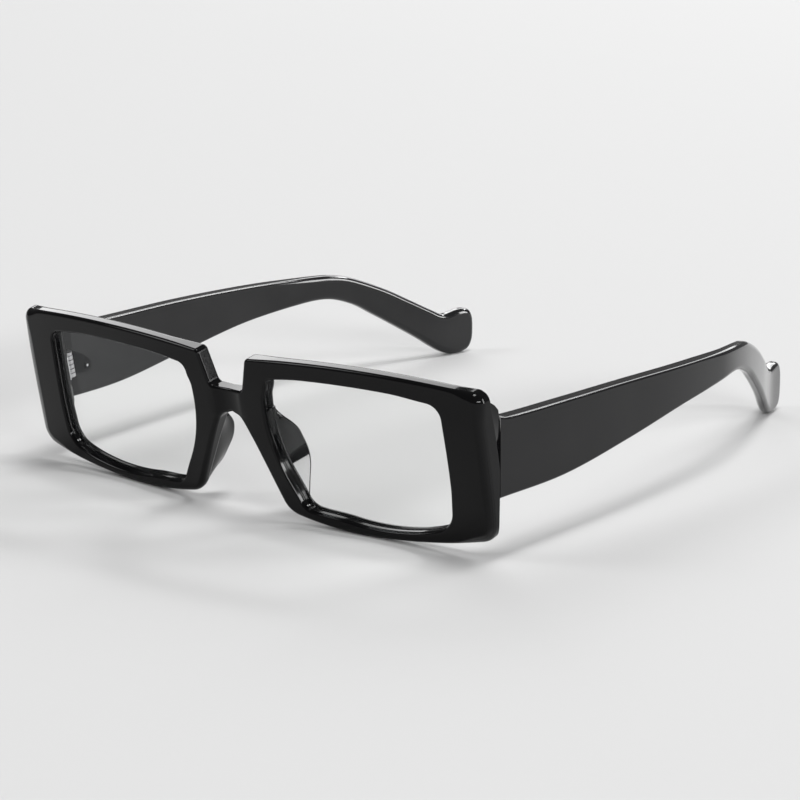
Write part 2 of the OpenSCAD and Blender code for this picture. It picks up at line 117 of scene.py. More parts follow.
class Graph:
    """The node tree of a material or a world, filled through one method."""

    def __init__(self, owner: Material | bpy.types.World) -> None:
        """Empties the owner's tree."""
        owner.use_nodes = True
        self.owner, self.tree = owner, owner.node_tree
        self.tree.nodes.clear()

    def add(
        self, kind: str, settings: Sockets = None, inputs: Sockets = None, output: str | int = 0
    ) -> Wire:
        """Adds one node.

        Args:
            kind: The node's type, without its ShaderNode prefix.
            settings: Attributes, set before the sockets.
            inputs: Values or wires by socket name or number.
            output: The socket that the result stands for.

        Returns:
            The node's chosen output.
        """
        node = self.tree.nodes.new("ShaderNode" + kind)
        for key, value in (settings or {}).items():
            setattr(node, key, value)
        for key, value in (inputs or {}).items():
            if isinstance(value, Wire):
                self.tree.links.new(value.socket, node.inputs[key])
            else:
                node.inputs[key].default_value = value
        return Wire(self.tree, node.outputs[output] if node.outputs else None)

    def noise(self, place: Wire, scale: float, detail: float = 2.0, rough: float = 0.5) -> Wire:
        """Noise from 0 to 1 at a scale per metre."""
        inputs = {"Vector": place, "Scale": scale, "Detail": detail, "Roughness": rough}
        return self.add("TexNoise", inputs=inputs)

    def blend(self, share: Wire, low: Triple, high: Triple) -> Wire:
        """Colour between two."""
        inputs = {0: share, 6: (*low, 1.0), 7: (*high, 1.0)}
        return self.add("Mix", {"data_type": "RGBA"}, inputs, output=2)

    def ease(self, value: Wire, ends: Pair, low: float = 0.0, high: float = 1.0) -> Wire:
        """Smooth step from low at the first end to high at the second."""
        inputs = {0: value, 1: ends[0], 2: ends[1], 3: low, 4: high}
        return self.add("MapRange", {"interpolation_type": "SMOOTHSTEP"}, inputs)

    def bump(self, height: Wire, strength: float, distance: float) -> Wire:
        """Normal that follows a height."""
        inputs = {"Strength": strength, "Distance": distance, "Height": height}
        return self.add("Bump", inputs=inputs)

    def ray(self, kind: str) -> Wire:
        """One for a ray of this kind, else zero."""
        return self.add("LightPath", output=f"Is {kind} Ray")

    def finish(self, shader: Wire) -> Material | bpy.types.World:
        """Ends the tree with this shader and returns its owner."""
        kind = "World" if isinstance(self.owner, bpy.types.World) else "Material"
        self.add("Output" + kind, inputs={"Surface": shader})
        return self.owner


@dataclass(frozen=True)
class Acetate:
    """Polished black acetate, with soft polishing marks.

    A clear coat may lie on it, from `coat` on the arm to `coat_ear` behind the ear; the temples'
    copies set it differently on each side, as painted sheen.
    """

    name: str = "polished_acetate"
    dark: Triple = (0.0025, 0.0025, 0.0028)
    pale: Triple = (0.0045, 0.0045, 0.0048)
    roughness: float = 0.07
    marks: float = 0.05
    shine: float = 0.175
    coat: float = 0.0
    coat_ear: float = 0.0
    ear_y: Pair = (0.018, 0.045)

    def build(self) -> Material:
        """Builds the node material."""
        graph = Graph(bpy.data.materials.new(self.name))
        place = graph.add("TexCoord", output="Object")
        cloud = graph.noise(place, scale=55.0, detail=3.0)
        fine = graph.noise(place, scale=1400.0, detail=4.0, rough=0.65)
        height = 0.7 * graph.noise(place, scale=240.0) + 0.3 * fine
        inputs = {
            "Base Color": graph.blend(cloud, self.dark, self.pale),
            "Roughness": self.roughness + self.marks * fine * cloud,
            "IOR": 1.49,
            "Specular IOR Level": self.shine,
            "Normal": graph.bump(height, strength=0.03, distance=0.0001),
        }
        if self.coat_ear > 0:
            along = graph.add("SeparateXYZ", inputs={0: place}, output="Y")
            share = graph.ease(along, self.ear_y, self.coat, self.coat_ear)
            inputs["Coat Weight"] = share * (0.6 + 0.8 * cloud)
            inputs["Coat Roughness"] = 0.12
        return graph.finish(graph.add("BsdfPrincipled", inputs=inputs))


@dataclass(frozen=True)
class CoatedLens:
    """Clear coated resin: it passes what is behind and mirrors a little of the room."""

    name: str = "coated_lens"
    tint: Triple = (0.985, 0.988, 0.985)
    mirror_tint: Triple = (0.95, 0.98, 1.0)
    roughness: float = 0.02
    mirror: float = 0.006
    smears: float = 0.004
    edge_mirror: float = 0.5
    edge_power: float = 5.0

    def build(self) -> Material:
        """Builds the node material."""
        graph = Graph(bpy.data.materials.new(self.name))
        place = graph.add("TexCoord", output="Object")
        smear = graph.noise(place, scale=90.0, detail=3.0)
        edge_on = graph.add("LayerWeight", inputs={"Blend": 0.5}, output="Facing")
        mirror = self.mirror + self.smears * smear + self.edge_mirror * edge_on**self.edge_power
        clear = graph.add("BsdfTransparent", inputs={"Color": (*self.tint, 1.0)})
        inputs = {"Color": (*self.mirror_tint, 1.0), "Roughness": self.roughness}
        gloss = graph.add("BsdfGlossy", inputs=inputs)
        return graph.finish(graph.add("MixShader", inputs={0: mirror, 1: clear, 2: gloss}))


@dataclass(frozen=True)
class PlatedSteel:
    """Bright nickel plating with fine turning marks."""

    name: str = "plated_steel"
    dark: Triple = (0.52, 0.52, 0.53)
    pale: Triple = (0.68, 0.68, 0.69)
    roughness: float = 0.22
    marks: float = 0.14

    def build(self) -> Material:
        """Builds the node material."""
        graph = Graph(bpy.data.materials.new(self.name))
        place = graph.add("TexCoord", output="Object")
        grain = graph.noise(place, scale=2600.0, detail=3.0)
        cloud = graph.noise(place, scale=300.0)
        inputs = {
            "Base Color": graph.blend(cloud, self.dark, self.pale),
            "Metallic": 1.0,
            "Roughness": self.roughness + self.marks * grain,
            "Normal": graph.bump(grain, strength=0.12, distance=0.00005),
        }
        return graph.finish(graph.add("BsdfPrincipled", inputs=inputs))


@dataclass(frozen=True)
class StudioFloor:
    """Plain pale matte floor, which runs out into an even backdrop."""

    name: str = "studio_floor"
    colour: Triple = (0.64, 0.64, 0.64)
    backdrop: Triple = (0.84, 0.84, 0.84)
    roughness: float = 0.9
    fade: Pair = (0.7, 2.2)

    def build(self) -> Material:
        """Builds the node material."""
        graph = Graph(bpy.data.materials.new(self.name))
        place = graph.add("TexCoord", output="Object")
        away = graph.add("VectorMath", {"operation": "LENGTH"}, {0: place}, output="Value")
        rays = graph.ray("Camera") + graph.ray("Glossy") + graph.ray("Transmission")
        inputs = {
            "Base Color": (*self.colour, 1.0),
            "Roughness": self.roughness,
            "Specular IOR Level": 0.0,
        }
        matte = graph.add("BsdfPrincipled", inputs=inputs)
        even = graph.add("Emission", inputs={"Color": (*self.backdrop, 1.0), "Strength": 1.0})
        seen = graph.ease(away, self.fade) * rays
        return graph.finish(graph.add("MixShader", inputs={0: seen, 1: matte, 2: even}))


@dataclass(frozen=True)
class Arc:
    """Arc of an outline, in degrees; it runs clockwise where end is under start.

    `front` and `back` are the depths of the edges' roundings, and `across` is how far the
    front one reaches over the face, where that differs.
    """

    u: float
    v: float
    radius: float
    start: float
    end: float
    back: float = 1.6
    front: float = 0.85
    across: float = 0.0

    def at(self, angle: float) -> Array:
        """Point at an angle in degrees."""
        a = math.radians(angle)
        return np.array([self.u + self.radius * math.cos(a), self.v + self.radius * math.sin(a)])

    def way(self, angle: float) -> Array:
        """Direction of travel at an angle in degrees."""
        a, turn = math.radians(angle), 1 if self.end > self.start else -1
        return turn * np.array([-math.sin(a), math.cos(a)])

    def sizes(self, solid_inside: bool) -> Array:
        """Sizes of the edges' roundings, as a contour keeps them.

        Args:
            solid_inside: Whether the solid lies to the left of the way round.

        Returns:
            Front, back, how far an edge may be rounded before it folds over, and across.
        """
        folds = solid_inside and self.end > self.start
        room = min(0.8 * self.radius, WIDEST) if folds else WIDEST
        return np.array([self.front, self.back, room, self.across or self.front])


@dataclass
class Contour:
    """Closed line of a plate, its way out of the solid and the rounding of its two edges.

    The sizes at each point are those that Arc.sizes gives.
    """

    points: Array
    outward: Array
    sizes: Array

    @classmethod
    def from_arcs(cls, arcs: Sequence[Arc], solid_inside: bool) -> "Contour":
        """Samples a chain of arcs that smooth bends join.

        Args:
            arcs: The arcs in order; round an opening, the last one joins the first.
            solid_inside: Whether the solid lies to the left of the way round.

        Returns:
            The contour.
        """
        most_turn, most_length = 5.0, 1.1
        rows: list[tuple] = []
        for i, arc in enumerate(arcs):
            turn = abs(arc.end - arc.start)
            length = math.radians(turn) * arc.radius
            count = max(2, math.ceil(turn / most_turn), math.ceil(length / most_length))
            last, sizes = arcs[i - 1], arc.sizes(solid_inside)
            met = i > 0 and np.linalg.norm(last.at(last.end) - arc.at(arc.start)) < TOUCHING
            for k in range(int(met), count + 1):
                angle = arc.start + (arc.end - arc.start) * k / count
                rows.append((arc.at(angle), arc.way(angle), sizes))
            if i < len(arcs) - 1 or not solid_inside:
                rows += cls._bend(arc, arcs[(i + 1) % len(arcs)], solid_inside)
        points, way, sizes = (np.array([row[k] for row in rows]) for k in range(3))
        sign = 1 if solid_inside else -1
        return cls(points, sign * np.stack([way[:, 1], -way[:, 0]], axis=1), sizes)

    @staticmethod
    def _bend(a: Arc, b: Arc, solid_inside: bool) -> list[tuple]:
        """Samples the smooth bend from the end of one arc to the start of the next.

        Args:
            a: The arc before the bend.
            b: The arc after it.
            solid_inside: Whether the solid lies to the left of the way round.

        Returns:
            Rows of point, direction and sizes.
        """
        handle, most_length = 0.36, 0.9
        p, s = a.at(a.end), b.at(b.start)
        gap = np.linalg.norm(s - p)
        q, r = p + handle * gap * a.way(a.end), s - handle * gap * b.way(b.start)
        first, last = a.sizes(solid_inside), b.sizes(solid_inside)
        steps = max(6, math.ceil(gap / most_length)) if gap >= TOUCHING else 0
        rows = []
        for k in range(1, steps):
            t = k / steps
            way = (1 - t) ** 2 * (q - p) + 2 * (1 - t) * t * (r - q) + t * t * (s - r)
            way /= np.linalg.norm(way)
            rows.append((bezier(p, q, r, s, t), way, first + t * (last - first)))
        return rows

    @classmethod
    def from_line(cls, points: Array, rounding: float) -> "Contour":
        """Closed contour through points that run anticlockwise round the solid."""
        way = np.roll(points, -1, axis=0) - np.roll(points, 1, axis=0)
        way /= np.linalg.norm(way, axis=1)[:, None]
        sizes = np.tile([rounding, rounding, WIDEST, rounding], (len(points), 1))
        return cls(points, np.stack([way[:, 1], -way[:, 0]], axis=1), sizes)

    @classmethod
    def on_middle(cls, v: float, way: float, front: float, back: float) -> "Contour":
        """One point of the middle plane, its way out straight up or down."""
        rows = [0.0, v], [0.0, way], [front, back, WIDEST, front]
        return cls(*(np.array([row]) for row in rows))

    def mirrored(self) -> "Contour":
        """The same contour on the other side of the middle plane, in the same turn."""
        flip = np.array([-1.0, 1.0])
        return Contour((self.points * flip)[::-1], (self.outward * flip)[::-1], self.sizes[::-1])

    def turned_out(self) -> "Contour":
        """The contour of what fills this opening, where its edges are rounded evenly."""
        return Contour(self.points[::-1], -self.outward[::-1], self.sizes)

    def joined(self, other: "Contour") -> "Contour":
        """This contour followed by another."""
        pairs = zip(vars(self).values(), vars(other).values())
        return Contour(*(np.concatenate(pair) for pair in pairs))

    def smoothed(self, passes: int = 6) -> "Contour":
        """Averages the sizes with their neighbours', time after time, and returns itself."""
        for _ in range(passes):
            around = np.roll(self.sizes, 1, axis=0) + 2 * self.sizes
            self.sizes = (around + np.roll(self.sizes, -1, axis=0)) / 4
        return self


@dataclass(frozen=True)
class FrontPlan:
    """Sizes and place of the wrapped front, in millimetres; u runs across and v up."""

    lens_width: float = 47.7
    lens_height: float = 34.1
    bridge_gap: float = 21.4
    rim_side: float = 9.8
    rim_top: float = 3.7
    rim_bottom: float = 2.2
    depth: float = 3.8
    wrap_radius: float = 466.0
    tilt: float = math.radians(10.8)
    notch_depth: float = 10.0
    bridge_height: float = 5.7
    scoop: float = 0.8
    scoop_radius: float = 10.0
    foot_in: float = 6.3
    foot_up: float = 7.0
    foot_radius: float = 5.5
    lift: float = 1.9273
    shift: float = -71.7768

    @property
    def inner(self) -> float:
        """Where a lens opening starts."""
        return self.bridge_gap / 2

    @property
    def outer(self) -> float:
        """Where a lens opening ends."""
        return self.inner + self.lens_width

    @property
    def half_width(self) -> float:
        """The outer side of a rim."""
        return self.outer + self.rim_side

    @property
    def high(self) -> float:
        """Top of the rims."""
        return self.lens_height + self.rim_top

    @property
    def bridge_top(self) -> float:
        """Upper edge of the bridge."""
        return self.high - self.notch_depth

    @property
    def arch(self) -> float:
        """Top of the nose arch."""
        return self.bridge_top - self.bridge_height

    @property
    def foot_v(self) -> float:
        """Height of the arc at a rim's nose corner."""
        return self.foot_up - self.rim_bottom

    @property
    def directions(self) -> tuple[Array, Array, Array]:
        """Foot of the middle plane, the way back and the way up of the tilted front."""
        c, s = math.cos(self.tilt), math.sin(self.tilt)
        return np.array([0.0, self.shift, self.lift]), np.array([0.0, c, s]), np.array([0.0, -s, c])

    def opening(self, by: float = 0.0, front: float = 0.55, back: float = 0.5) -> Contour:
        """Edge of the wearer's left lens opening.

        Args:
            by: How much it is grown.
            front: Rounding of the front edge.
            back: Rounding of the back edge.

        Returns:
            The contour, with the solid outside it.
        """
        a, b, w, h = self.inner, self.outer, self.lens_width, self.lens_height
        arcs = [
            (a + 0.21 * w, 0.144 * h, 0.106 * h, 204, 262),
            (a + 0.575 * w, 1.757 * h, 1.757 * h, 262, 278),
            (b - 0.134 * w, 0.218 * h, 0.16 * h, -72, -4),
            (b - 4.01 * w, 0.45 * h, 4 * w, -0.6, 0.9),
            (b - 0.089 * w, 0.845 * h, 0.1 * h, 2, 84),
            (a + 0.5 * w, -5.716 * h, 6.7 * h, 87.5, 93),
            (a + 0.074 * w, 0.877 * h, 0.07 * h, 98, 172),
            (a + 0.645 * w, 0.7 * h, 0.645 * w, 174, 203),
        ]
        grown = [Arc(u, v, r + by, s, e, back, front) for u, v, r, s, e in arcs]
        return Contour.from_arcs(grown, solid_inside=False)

    def outline(self) -> Contour:
        """Outer edge of the front, anticlockwise from the nose arch, the solid inside it."""
        low_u = self.inner + 0.49 * self.lens_width
        low, high, half = -self.rim_bottom, self.high, self.half_width
        arcs = [
            Arc(0.6, self.arch - 4.3, 3.9, 80, 28, 0.3, 1.1),
            Arc(self.inner + self.foot_in, self.foot_v, self.foot_radius, 205, 258, 2.2, 1.3),
            Arc(low_u, low + 100, 100, 264, 270, 1.3),
            Arc(low_u, low + 155, 155, 270, 279, 1.3),
            Arc(half - 4.8, low + 7.4, 4.5, -79, -2, 1.0, 1.0, 2.2),
            Arc(half - 330, 0.5 * self.lens_height, 330, -1, 2, 0.3, 1.2, 2.6),
            Arc(half - 3.2, high - 4.9, 2.9, 3, 84, 0.5, 1.9, 2.3),
            Arc(low_u, high - 260, 260, 84, 94, 1.7),
            Arc(8, high - 2.7, 1.35, 95, 165, 0.6, 0.7),
            Arc(3.5, self.bridge_top + 1.7, 1.5, -15, -88, 0.5, 0.7),
        ]
        half_line = Contour.from_arcs(arcs, solid_inside=True)
        low_point = Contour.on_middle(self.arch, -1.0, 0.85, 0.8)
        top_point = Contour.on_middle(self.bridge_top, 1.0, 0.7, 0.5)
        line = low_point.joined(half_line).joined(top_point).joined(half_line.mirrored())
        return line.smoothed()

    def back_of(self, u: float) -> float:
        """How far behind the middle of the face the front's back lies."""
        return self.wrap_radius - math.sqrt((self.wrap_radius - self.depth) ** 2 - u * u)

    def hollow(self, u: Array) -> Array:
        """Depth of the soft-edged scoop in the bridge's face, at places across the front."""
        softness, rest = 0.03, 0.002
        near = np.clip(np.abs(u), 0, 0.98 * self.scoop_radius)
        cut = self.scoop - self.scoop_radius + np.sqrt(self.scoop_radius**2 - near**2)
        return 0.5 * (cut + np.sqrt(cut * cut + softness)) - rest

    def place(self, flat: Array) -> Array:
        """Carries flat points onto the wrapped and tilted front.

        Args:
            flat: Points (u, depth, v).

        Returns:
            Points (x, y, z) in millimetres.
        """
        u, d, v = flat.T
        d = d + self.hollow(u) * np.clip(1 - d / self.depth, 0, 1)
        y = self.wrap_radius - np.sqrt((self.wrap_radius - d) ** 2 - u * u)
        c, s = math.cos(self.tilt), math.sin(self.tilt)
        return np.stack([u, y * c - v * s + self.shift, self.lift + v * c + y * s], axis=1)


PLAN = FrontPlan()


@dataclass(frozen=True)
class Seam:
    """The mitred joint between an endpiece and its temple, in millimetres."""

    y: float = 5.31711
    top: float = 32.2026
    height: float = 18.3
    mitre: float = math.radians(38)

    def plane(self, side: Side, gap: float = 0.0) -> tuple[Vector, Vector]:
        """A point of the mitre, moved back by the gap, and its direction towards the temple."""
        point = Vector((side.value * PLAN.half_width, self.y + gap + PLAN.shift, 0))
        return point, Vector((side.value * math.sin(self.mitre), math.cos(self.mitre), 0))


SEAM = Seam()


class Shape:
    """A bmesh in millimetres whose points remember the way out of the solid."""

    def __init__(self) -> None:
        """Starts empty."""
        self.bm = bmesh.new()
        self.out = self.bm.verts.layers.float_vector.new("way_out")
        self.flat = self.bm.faces.layers.int.new("flat_face")

    def edges_of(self, verts: Verts) -> Edges:
        """Edges of a closed ring, in order."""
        return [self.bm.edges.get(pair) for pair in zip(verts, verts[1:] + verts[:1])]

    def set_ways(self, verts: Verts, outward: Array | None) -> None:
        """Stores the way out at each point, where they are given."""
        for v, way in zip(verts, () if outward is None else outward.tolist()):
            v[self.out] = way

    def tube(self, rings: Rings) -> list[Verts]:
        """Draws a closed ring of points out through the others.

        Args:
            rings: Points of each ring, and the ways out at them where they are given.

        Returns:
            The vertices of each ring, in the same order.
        """
        rows: list[Verts] = []
        for points, outward in rings:
            if rows:
                made = bmesh.ops.extrude_edge_only(self.bm, edges=self.edges_of(rows[-1]))
                fresh = {g for g in made["geom"] if isinstance(g, bmesh.types.BMVert)}
                links = [[e.other_vert(v) for e in v.link_edges] for v in rows[-1]]
                verts = [next(v for v in ends if v in fresh) for ends in links]
            else:
                verts = [self.bm.verts.new() for _ in points]
                for pair in zip(verts, verts[1:] + verts[:1]):
                    self.bm.edges.new(pair)
            for v, p in zip(verts, points.tolist()):
                v.co = p
            self.set_ways(verts, outward)
            rows.append(verts)
        return rows

    def fill(self, rings: Sequence[Verts], outward: Sequence[float] | None = None) -> None:
        """Closes a face between rings, the outer one first, with one way out all over it."""
        edges = [edge for ring in rings for edge in self.edges_of(ring)]
        bmesh.ops.triangle_fill(self.bm, use_beauty=True, use_dissolve=False, edges=edges)
        for v in (v for ring in rings for v in ring if outward):
            v[self.out] = outward

    def score(self, places: Sequence[float]) -> None:
        """Cuts the wide flat faces across, so that they can bend.

        Args:
            places: Where the cuts lie, in x.
        """
        facing, touch = 0.999, 1e-4
        for place in places:
            near = []
            for face in self.bm.faces:
                if abs(face.normal.y) < facing:
                    continue
                values = [v.co.x for v in face.verts]
                if min(values) < place - touch and max(values) > place + touch:
                    near.append(face)
            parts = dict.fromkeys(x for f in near for x in (*f.edges, *f.verts))
            geom, centre = [*near, *parts], (place, 0.0, 0.0)
            bmesh.ops.bisect_plane(self.bm, geom=geom, dist=touch, plane_co=centre, plane_no=(1, 0, 0))

    def carry(self, place: Field) -> None:
        """Moves every point through a mapping, and turns the ways out with it.

        Args:
            place: The mapping, from points to points.
        """
        step, least = 1e-3, 1e-12
        points = np.array([v.co for v in self.bm.verts], float)
        ways = np.array([v[self.out] for v in self.bm.verts], float)
        nudges = step * np.eye(3)
        columns = [(place(points + x) - place(points - x)) / (2 * step) for x in nudges]
        turned = np.einsum("nji,nj->ni", np.linalg.inv(np.stack(columns, axis=2)), ways)
        turned /= np.linalg.norm(turned, axis=1)[:, None] + least
        for v, p in zip(self.bm.verts, place(points).tolist()):
            v.co = p
        self.set_ways(self.bm.verts, turned)

    def slice(self, point: Sequence[float], normal: Sequence[float]) -> None:
        """Cuts off what lies beyond a plane and closes the cut with a flat face.

        Args:
            point: A point of the plane.
            normal: Its direction, towards what is cut off.
        """
        parts = self.bm.verts[:] + self.bm.edges[:] + self.bm.faces[:]
        cut = bmesh.ops.bisect_plane(
            self.bm, geom=parts, dist=1e-5, plane_co=point, plane_no=normal, clear_outer=True
        )
        edges = [g for g in cut["geom_cut"] if isinstance(g, bmesh.types.BMEdge)]
        if edges:
            made = bmesh.ops.triangle_fill(self.bm, use_beauty=True, use_dissolve=True, edges=edges)
            for face in (g for g in made["geom"] if isinstance(g, bmesh.types.BMFace)):
                face[self.flat] = 1

    def merge(self, degrees: float) -> None:
        """Joins faces that meet at less than this angle."""
        bmesh.ops.dissolve_limit(
            self.bm, angle_limit=math.radians(degrees), verts=self.bm.verts, edges=self.bm.edges
        )

    def sharp(self, least: float) -> Edges:
        """Edges whose two faces turn by more than this, in radians."""
        whole = (e for e in self.bm.edges if len(e.link_faces) == 2)
        return [e for e in whole if e.calc_face_angle() > least]

    def bevel(self, edges: Edges, width: float, segments: int) -> Faces:
        """Rounds edges over a width, with so many faces across, and returns these."""
        made = bmesh.ops.bevel(
            self.bm, geom=edges, offset=width, offset_type="OFFSET", segments=segments,
            profile=0.5, affect="EDGES", clamp_overlap=True, material=-1,
        )
        return made["faces"]

    def weigh(self) -> None:
        """Sets the ways out from the faces, the wide ones counting most."""
        self.bm.normal_update()
        for v in self.bm.verts:
            total = Vector()
            for face in v.link_faces:
                total += face.normal * face.calc_area()
            if total.length > 0:
                v[self.out] = total.normalized()

    def object(self, name: str, material: Material, body: str) -> bpy.types.Object:
        """Turns the shape into a finished piece.

        Args:
            name: The piece's name.
            material: Its finish.
            body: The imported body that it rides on.

        Returns:
            The object, in metres, with the kept ways out as its normals.
        """
        least_length, turned_off = 0.5, -0.2
        bmesh.ops.recalc_face_normals(self.bm, faces=self.bm.faces)
        bmesh.ops.scale(self.bm, vec=(MM, MM, MM), verts=self.bm.verts)
        mesh = bpy.data.meshes.new(name)
        ways = [v[self.out].copy() for v in self.bm.verts]
        flats = [bool(f[self.flat]) for f in self.bm.faces]
        self.bm.to_mesh(mesh)
        self.bm.free()
        mesh.shade_smooth()
        normals = []
        for polygon, is_flat in zip(mesh.polygons, flats):
            for way in (ways[k] for k in polygon.vertices):
                kept = way.length > least_length and way.dot(polygon.normal) > turned_off
                normals.append(way if kept and not is_flat else polygon.normal.copy())
        mesh.normals_split_custom_set(normals)
        for layer in ("way_out", "flat_face"):
            mesh.attributes.remove(mesh.attributes[layer])
        piece = bpy.data.objects.new(name, mesh)
        bpy.context.scene.collection.objects.link(piece)
        piece.data.materials.append(material)
        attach(piece, body)
        log.info("%s: %d faces", name, len(mesh.polygons))
        return piece


@dataclass
class Plate:
    """A flat plate with openings and rounded edges.

    The steps run round the wall of each opening, from back to front: depth, how far the wall
    steps back into the solid there, and how far the surface turns to the back or the front.
    An opening's front edge starts at the angle `draft`, sunk into the solid by `sunk`.
    """

    contours: list[Contour]
    depth: float
    front_steps: int = 5
    back_steps: int = 6
    steps: tuple[Triple, ...] = ()
    draft: float = 20.0
    sunk: float = 0.12
    flatten: float = 1.4

    @staticmethod
    def ring(line: Contour, inset: Values, depth: Values, turned: Values) -> tuple[Array, ...]:
        """One ring of a contour.

        Args:
            line: The contour.
            inset: How far the ring lies inside the solid.
            depth: Its depth in the plate.
            turned: The part of its way out that points to the back.

        Returns:
            Points (u, depth, v) and the ways out at them.
        """
        inset, depth, turned = (x * np.ones(len(line.points)) for x in (inset, depth, turned))
        flat = line.points - line.outward * inset[:, None]
        out = line.outward * np.sqrt(1 - turned * turned)[:, None]
        pairs = (flat, depth), (out, turned)
        return tuple(np.stack([x[:, 0], y, x[:, 1]], axis=1) for x, y in pairs)

    def rings(self, line: Contour, stepped: bool) -> Rings:
        """Rings of one contour from the back face round to the front face.

        Args:
            line: The contour.
            stepped: Whether its wall has the steps.

        Returns:
            Points (u, depth, v) and ways out of each ring.
        """
        front, back, limit, across = line.sizes.T
        made = []
        for k in range(self.back_steps, -1, -1):
            angle = math.radians(90 * k / self.back_steps)
            inset = np.minimum(back, limit) * (1 - math.cos(angle))
            depth = self.depth - back * (1 - math.sin(angle))
            made.append(self.ring(line, inset, depth, math.sin(angle)))
        made += self.wall(line) if stepped else []
        draft, sunk = (self.draft, self.sunk) if stepped else (0.0, 0.0)
        for k in range(self.front_steps + 1):
            share = (draft + (90 - draft) * k / self.front_steps) / 90
            angle = math.radians(90 * share)
            lean = angle * (share + 1e-9) ** (self.flatten * (across / front - 1))
            inset = np.minimum(across, limit) * (1 - math.cos(angle)) + sunk
            made.append(self.ring(line, inset, front * (1 - math.sin(angle)), -np.sin(lean)))
        return made

    def wall(self, line: Contour) -> Rings:
        """Rings of the steps in an opening's wall, which turn back only where it is upright."""
        upright = np.clip(1.6 * np.abs(line.outward[:, 0]) - 0.6, 0, 1)
        made = []
        for depth, inset, turn in self.steps:
            made.append(self.ring(line, inset, depth, turn * (upright if turn > 0 else 1.0)))
        return made

    def shape(self, places: Sequence[float]) -> Shape:
        """Builds the flat plate, its wide faces cut across.

        Args:
            places: Where the cuts lie, in x.

        Returns:
            The plate.
        """
        shape = Shape()
        backs, fronts = [], []
        for i, line in enumerate(self.contours):
            rows = shape.tube(self.rings(line, i > 0))
            backs.append(rows[0])
            fronts.append(rows[-1])
        shape.fill(backs, (0.0, 1.0, 0.0))
        shape.fill(fronts, (0.0, -1.0, 0.0))
        shape.bm.normal_update()
        shape.score(places)
        return shape


@dataclass
class Curve:
    """Smooth curve through pairs of place and value."""

    knots: list[Pair]

    def __call__(self, where: Values) -> Array:
        """Value at each place."""
        x, y = np.array(self.knots, float).T
        last = len(x) - 1
        ahead = np.minimum(np.arange(len(x)) + 1, last)
        behind = np.maximum(np.arange(len(x)) - 1, 0)
        slope = (y[ahead] - y[behind]) / (x[ahead] - x[behind])
        p = np.atleast_1d(np.asarray(where, float))
        i = np.clip(np.searchsorted(x, p, side="left") - 1, 0, last - 1)
        d = x[i + 1] - x[i]
        t = (p - x[i]) / d
        start = (1 + 2 * t) * (1 - t) ** 2 * y[i] + t * (1 - t) ** 2 * d * slope[i]
        return start + t * t * (3 - 2 * t) * y[i + 1] + t * t * (t - 1) * d * slope[i + 1]


